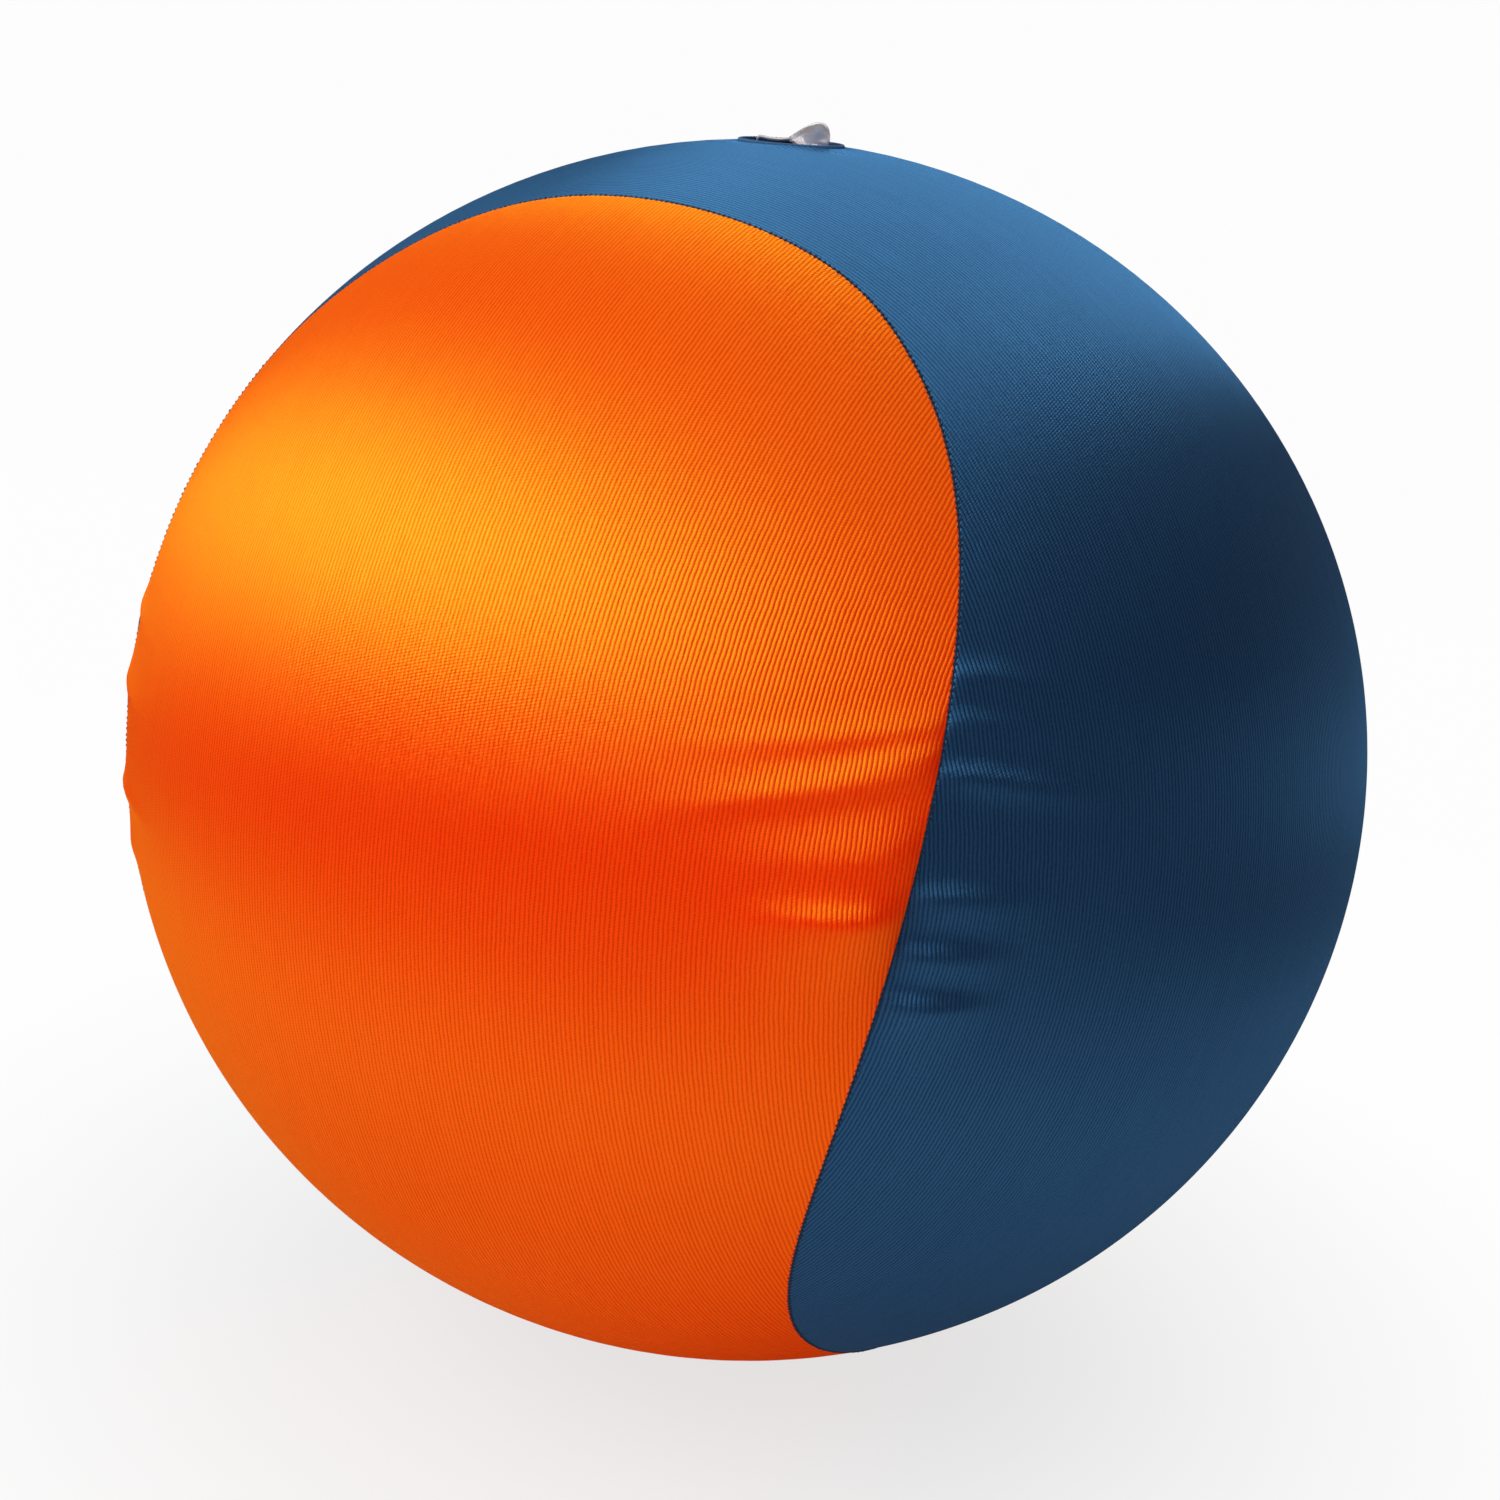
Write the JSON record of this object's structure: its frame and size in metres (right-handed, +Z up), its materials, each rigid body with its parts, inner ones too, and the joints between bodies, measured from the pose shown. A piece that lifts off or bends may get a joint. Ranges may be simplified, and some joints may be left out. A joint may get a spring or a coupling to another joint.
{
  "type": "beach ball",
  "caption": "Inflatable beach ball with a stretch-knit cover of interlocking orange and blue panels sewn over a vinyl bladder, whose push-in valve and tethered plug come out at the top.",
  "frame": {"origin": "on the floor under the ball's centre, at the middle of the flat that it rests on", "axes": "+Z up along the valve's axis; the view of the picture looks along +Y, 18.6 degrees down"},
  "size_m": [0.2998, 0.2996, 0.2992],
  "materials": {
    "orange_knit": "satin stretch knit",
    "blue_knit": "satin stretch knit",
    "thread": "spun thread",
    "edging": "overlocked edge",
    "film": "soft vinyl film",
    "clear_vinyl": "clear moulded vinyl"
  },
  "bodies": {
    "ball": {"orange_panel": "orange_knit", "blue_panel": "blue_knit", "seam_thread": "thread", "opening_edging": "edging", "bladder_gore_1": "film", "bladder_gore_2": "film", "bladder_gore_3": "film", "bladder_gore_4": "film", "bladder_gore_5": "film", "bladder_gore_6": "film", "bladder_top_disc": "film", "bladder_bottom_disc": "film", "valve_skirt": "clear_vinyl"},
    "stem": {"valve_stem": "clear_vinyl", "plug_tether": "clear_vinyl"},
    "plug": {"valve_plug": "clear_vinyl"},
    "flap": {"check_flap": "clear_vinyl"}
  },
  "joints": [
    {"name": "valve_push", "type": "slide", "parent": "ball", "child": "stem", "axis": [0, 0, 1], "range_m": [0, 0.012], "deforming": ["valve_skirt"]},
    {"name": "plug_pull", "type": "slide", "parent": "stem", "child": "plug", "axis": [0, 0, 1], "range_m": [0, 0.01], "deforming": ["plug_tether"]},
    {"name": "flap_swing", "type": "hinge", "parent": "stem", "child": "flap", "pos_m": [0.00425, 0, 0.27675], "axis": [0, -1, 0], "range_deg": [0, 45], "stiffness_Nm_per_rad": 0.00005}
  ]
}
